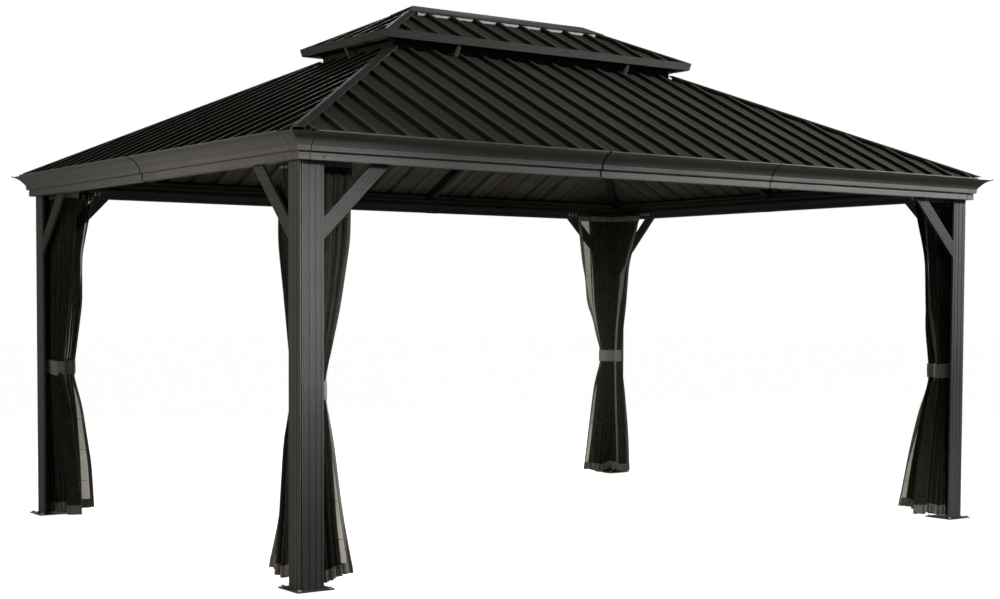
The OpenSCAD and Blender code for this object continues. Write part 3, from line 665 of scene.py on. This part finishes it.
def tie_surface(corner, side, turn, up):
    """A band round a net's waist; turn is 1 once round it, and up is the height from the band's middle.

    It is a rounded rectangle as wide and deep as the waist: its middle plus the half sizes times the cosine
    and the sine of the turn, each blunted to a power of a half. The lapped end stands a little further out.
    """
    turn, up = np.broadcast_arrays(turn[None, :], up[:, None])
    waist = np.full(1, TIE_Z)
    start = at_height(NET_START[side], waist)
    end = at_height(NET_REACH[side][corner], waist)
    depth = at_height(NET_DEPTH, waist)
    angle = 2 * math.pi * turn + 0.6
    lap = TIE_LAP * np.clip((turn - 0.98) / 0.06, 0, 1)
    out = TIE_OFF + lap + TIE_WAVE * np.sin(9 * angle + 30 * up) * np.cos(34 * up)
    along = (start + end) / 2 + blunt(np.cos(angle), 0.5) * ((end - start) / 2 + out)
    inward = NET_IN + depth / 2 + blunt(np.sin(angle), 0.5) * (depth / 2 + out)
    return into_corner(corner, side, along, inward, TIE_Z + up + TIE_TILT[corner] * (along - TIE_PIVOT))


turn = np.linspace(0, TIE_TURNS, 84)
up = np.linspace(-TIE_HEIGHT / 2, TIE_HEIGHT / 2, 9)
flat = np.stack(np.meshgrid(turn * TIE_ROUND, up, indexing="xy"), -1)
for (corner, side), (net, bindings) in net_pieces.items():
    tie = sheet_piece(f"tie_{side}_{corner}", [(tie_surface(corner, side, turn, up), flat)], tie_band)
    thicken(tie, TIE_T)
    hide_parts("net_ties")


# Gliders: small white plastic runners, about one to each fold along the top of a net.
# Each is a rounded block hung in the rail, with the net's top tape clipped under it.
glider_white, place = start_finish("glider_white", Specular_IOR_Level=0.45)
feed(glider_white, Base_Color=place.noise(0.01, 3.0).between((0.72, 0.72, 0.70, 1), (0.88, 0.88, 0.86, 1)),
     Roughness=place.noise(0.006, 2.0) * 0.2 + 0.4)
# Half a glider's size along X, Y and Z
GLIDER_HALF = {"long": (0.006, 0.0035, 0.0105), "short": (0.0035, 0.006, 0.0105)}
# How far in from the posts' outer faces the gliders run, and at what height
GLIDER_IN = 0.0435
GLIDER_Z = 1.999


def rounded_blocks(middles, halves):
    """Rounded blocks: the blunted sine and cosine of two angles, times the half sizes, about the middles."""
    power = 0.45
    rows = 9
    around = 16
    rise = np.linspace(-math.pi / 2, math.pi / 2, rows)[:, None]
    turn = np.arange(around)[None, :] * 2 * math.pi / around
    ring = np.maximum(blunt(np.cos(rise), power), 0.05)
    one = np.stack([ring * blunt(np.cos(turn), power), ring * blunt(np.sin(turn), power),
                    blunt(np.sin(rise), power) + 0 * turn], -1)
    points = middles[:, None, None, :] + one * halves[:, None, None, :]
    foot = list(range(around))[::-1]
    top = list(range((rows - 1) * around, rows * around))
    faces = grid_faces(rows, around, close_columns=True).tolist() + [foot, top]
    return points, [[n + rows * around * copy for n in face] for copy in range(len(points)) for face in faces]


glider_middles = []
glider_halves = []
for corner, side in net_pieces:
    first = NET_START[side][-1] + 0.01
    last = NET_REACH[side][corner][-1] + 0.05
    along = np.linspace(first, last, NET_FOLDS[side] + 2)
    inward = np.full(len(along), GLIDER_IN)
    glider_middles.append(into_corner(corner, side, along, inward, np.full(len(along), GLIDER_Z)))
    glider_halves.append(np.tile(GLIDER_HALF[side], (len(along), 1)))
gliders = rounded_blocks(np.concatenate(glider_middles), np.concatenate(glider_halves))
new_piece("net_gliders", *gliders, glider_white)


# Closures: foam strips cut to the sheets' ribs, which keep wind and insects out from under caps and eaves.
# The ones under the ridge cap are pale; along the hips they are brown, and at the eaves black.
# The ribs' spacing and height, and how wide a flank is in plan
RIB_SPACING = 0.170
RIB_H = 0.018
RIB_FLANK = 0.011
# Half a rib's width at its foot, on the sheet and under it
RIB_FOOT = 0.022
RIB_FOOT_UNDER = 0.0203
# How far the outline goes on past the middle of the last rib
PAST_LAST = 0.03


def on_slope(side, off, tip_z, along, inset, lift):
    """World places on a slope: along its eave, inset from it in plan, and lifted square to the sheet."""
    x, y = to_side(side, along, off - inset + lift * math.sin(PITCH))
    z = tip_z + inset * RISE + lift * math.cos(PITCH)
    return np.stack(np.broadcast_arrays(x, y, z), -1)


def rib_height(along, last, foot):
    """Height of the ribs' outline at places along the eave: leaning flanks, flat tops, none past the last."""
    from_middle = np.abs(along / RIB_SPACING % 1 - 0.5) * RIB_SPACING
    return np.clip((foot - from_middle) / RIB_FLANK, 0, 1) * RIB_H * (np.abs(along) < last + PAST_LAST)


def closure(name, strips, material, thickness):
    """A piece of strips that each fill from a low line up to a high one, as thick as the foam."""
    grids = [(np.stack([low, high]), np.zeros((2, len(low), 2))) for low, high in strips]
    thicken(sheet_piece(name, grids, material, smooth=False), thickness)


def foam(name, dark, light):
    """Closed-cell foam: small pores in its colour and its surface."""
    made, place = start_finish(name, Roughness=0.9, Specular_IOR_Level=0.2)
    pores = place.noise(0.0016, 3.0)
    feed(made, Base_Color=(pores * 0.6 + place.noise(0.05, 3.0) * 0.4).between(dark, light),
         Normal=pores.bump(0.4, 0.0006))
    return made


pale_foam = foam("pale_foam", (0.76, 0.76, 0.76, 1), (0.95, 0.95, 0.94, 1))
brown_foam = foam("brown_foam", (0.012, 0.011, 0.010, 1), (0.028, 0.026, 0.023, 1))
black_foam = foam("black_foam", (0.008, 0.008, 0.008, 1), (0.020, 0.019, 0.018, 1))
# The gap between foam and sheet, and the step of the strips' points along the hips and eaves
FOAM_GAP = 0.0002
FOAM_STEP = 0.002
# Half a ridge strip's length, its distance from the ridge, and the cap's height over the pans there
RIDGE_HALF = 0.670
RIDGE_IN = 0.092
RIDGE_UNDER = 0.0212
_, off, last_rib = UPPER_SLOPES["front"]
along = np.linspace(-RIDGE_HALF, RIDGE_HALF, 671)
low = rib_height(along, last_rib, RIB_FOOT)
# On the ribs' crowns the strip comes down to nothing
high = np.where(low > RIB_H - FOAM_GAP, low, RIDGE_UNDER)
strips = []
for side in ("front", "back"):
    strips.append([on_slope(side, off, UPPER_TIP_Z, along, off - RIDGE_IN + lift * math.sin(PITCH), lift)
                   for lift in (low + FOAM_GAP, high)])
closure("ridge_closures", strips, pale_foam, thickness=0.010)

# The caps' height over the pans, and how far the strips lie in from the hip and stop short of the ridge
CAP_UNDER = 0.0182
HIP_IN = 0.0315
HIP_END = 0.034
# Each roof's slopes and pans, and where its strips start and end in from the eave
for level, slopes, tip_z, first, last in (("lower", LOWER_SLOPES, LOWER_TIP_Z, 0.066, 1.385),
                                          ("upper", UPPER_SLOPES, UPPER_TIP_Z, 0.024, 0.470)):
    strips = []
    for side, (half, off, last_rib) in slopes.items():
        inset = np.arange(first, min(last, half - HIP_END), FOAM_STEP)
        high = np.full(len(inset), CAP_UNDER)
        for end in (-1, 1):
            along = end * (half - inset - HIP_IN)
            low = rib_height(along, last_rib, RIB_FOOT) + FOAM_GAP
            strips.append([on_slope(side, off, tip_z, along, inset, lift) for lift in (low, high)])
    closure(f"{level}_hip_closures", strips, brown_foam, thickness=0.004)

# How far in from the eave the strips stand, then their foot and the sheet's underside below the pans' top
EAVE_IN = 0.078
EAVE_LOW = -0.0125
SHEET_UNDER = -0.0033
strips = []
for side, (_, off, last_rib) in LOWER_SLOPES.items():
    along = np.arange(-last_rib - PAST_LAST, last_rib + PAST_LAST, FOAM_STEP)
    low = np.full(len(along), EAVE_LOW)
    high = rib_height(along, last_rib, RIB_FOOT_UNDER) + SHEET_UNDER
    strips.append([on_slope(side, off, LOWER_TIP_Z, along, EAVE_IN, lift) for lift in (low, high)])
closure("eave_closures", strips, black_foam, thickness=0.012)


# Studio: a plain pale floor, a white backdrop and soft lamps; none of it belongs to the gazebo.
# Only rays that the camera, gloss or glass sends see the white; bounced light sees a darker floor.
def seen_directly(tree):
    """1 for camera, glossy and transmission rays, else 0."""
    rays = Wire(tree).node("ShaderNodeLightPath", {}, {}).output.node.outputs
    straight, glossy, through = (Wire(tree, rays[f"Is {kind} Ray"])
                                 for kind in ("Camera", "Glossy", "Transmission"))
    return straight.maths("MINIMUM", straight + glossy + through, 1.0)


FLOOR_HALF = 60
floor_mesh = bpy.data.meshes.new("floor")
floor_corners = [(-FLOOR_HALF, -FLOOR_HALF, 0), (FLOOR_HALF, -FLOOR_HALF, 0),
                 (FLOOR_HALF, FLOOR_HALF, 0), (-FLOOR_HALF, FLOOR_HALF, 0)]
floor_mesh.from_pydata(floor_corners, [], [(0, 1, 2, 3)])
floor = bpy.data.objects.new("floor", floor_mesh)
bpy.context.scene.collection.objects.link(floor)
paper = bpy.data.materials.new("paper")
paper.use_nodes = True
floor_mesh.materials.append(paper)
tree = paper.node_tree
tree.nodes.remove(tree.nodes["Principled BSDF"])
direct = seen_directly(tree)
dim = direct.node("ShaderNodeBsdfDiffuse", {}, {"Color": (0.28, 0.27, 0.24, 1)})
white = direct.node("ShaderNodeBsdfDiffuse", {}, {"Color": (0.9, 0.9, 0.9, 1)})
glow = direct.node("ShaderNodeEmission", {}, {"Color": (1, 1, 1, 1), "Strength": 0.945})
bright = direct.node("ShaderNodeAddShader", {}, {0: white, 1: glow})
mixed = direct.node("ShaderNodeMixShader", {}, {0: direct, 1: dim, 2: bright})
tree.links.new(mixed.output, tree.nodes["Material Output"].inputs["Surface"])

world = bpy.data.worlds.new("backdrop")
bpy.context.scene.world = world
world.use_nodes = True
tree = world.node_tree
direct = seen_directly(tree)
ambient = direct.node("ShaderNodeBackground", {}, {"Color": (1.0, 0.95, 0.80, 1), "Strength": 0.055})
backdrop = direct.node("ShaderNodeBackground", {}, {"Color": (1, 1, 1, 1), "Strength": 1.0})
mixed = direct.node("ShaderNodeMixShader", {}, {0: direct, 1: ambient, 2: backdrop})
tree.links.new(mixed.output, tree.nodes["World Output"].inputs["Surface"])


def soft_lamp(name, place, aim, size, power, spread, colour):
    """A square lamp at a place, turned to an aim; spread is how wide its light fans out, in degrees."""
    lamp = bpy.data.objects.new(name, bpy.data.lights.new(name, "AREA"))
    bpy.context.scene.collection.objects.link(lamp)
    lamp.data.size = size
    lamp.data.energy = power
    lamp.data.spread = math.radians(spread)
    lamp.data.color = colour
    lamp.location = place
    lamp.rotation_euler = (Vector(aim) - Vector(place)).to_track_quat("-Z", "Y").to_euler()


soft_lamp("key", (9.5, -7.5, 6.9), (1.15, -1.5, 2.1), 1.5, 46, 23.5, (1.0, 1.0, 1.0))
soft_lamp("near", (-1.0, -9.0, 6.5), (-2.3, -1.7, 1.42), 0.8, 3.1, 9.5, (1.0, 1.0, 1.0))
soft_lamp("fill", (-10.5, -1.5, 3.2), (-2.35, -0.6, 1.9), 1.2, 14.5, 42, (1.0, 0.95, 0.80))
soft_lamp("far", (-4.2, -8.2, 1.1), (2.15, 1.55, 0.95), 0.5, 1.2, 11, (1.0, 0.98, 0.90))
soft_lamp("right", (-2.0, -10.0, 1.3), (2.05, -1.6, 0.05), 0.5, 0.85, 9, (1.0, 1.0, 1.0))
soft_lamp("back", (5.0, 9.0, 5.0), (0, 0, 1.8), 4.0, 240, 90, (1.0, 1.0, 1.0))

# The camera stands where the photo's lines put it; its turns are in radians
CAMERA_PLACE = (-5.952, -8.2925, 1.3302)
CAMERA_TURN = -0.6230
CAMERA_DIP = 0.0434
CAMERA_ROLL = 0.0042
camera = bpy.data.objects.new("camera", bpy.data.cameras.new("camera"))
bpy.context.scene.collection.objects.link(camera)
camera.matrix_world = (Matrix.Translation(CAMERA_PLACE)
                       @ Matrix.Rotation(CAMERA_TURN, 4, "Z")
                       @ Matrix.Rotation(math.pi / 2 - CAMERA_DIP, 4, "X")
                       @ Matrix.Rotation(CAMERA_ROLL, 4, "Z"))
camera.data.sensor_width = 36
camera.data.lens = 59.145
camera.data.shift_y = 0.0736
camera.data.clip_end = 200
bpy.context.scene.camera = camera
bpy.context.scene.view_settings.view_transform = "Standard"
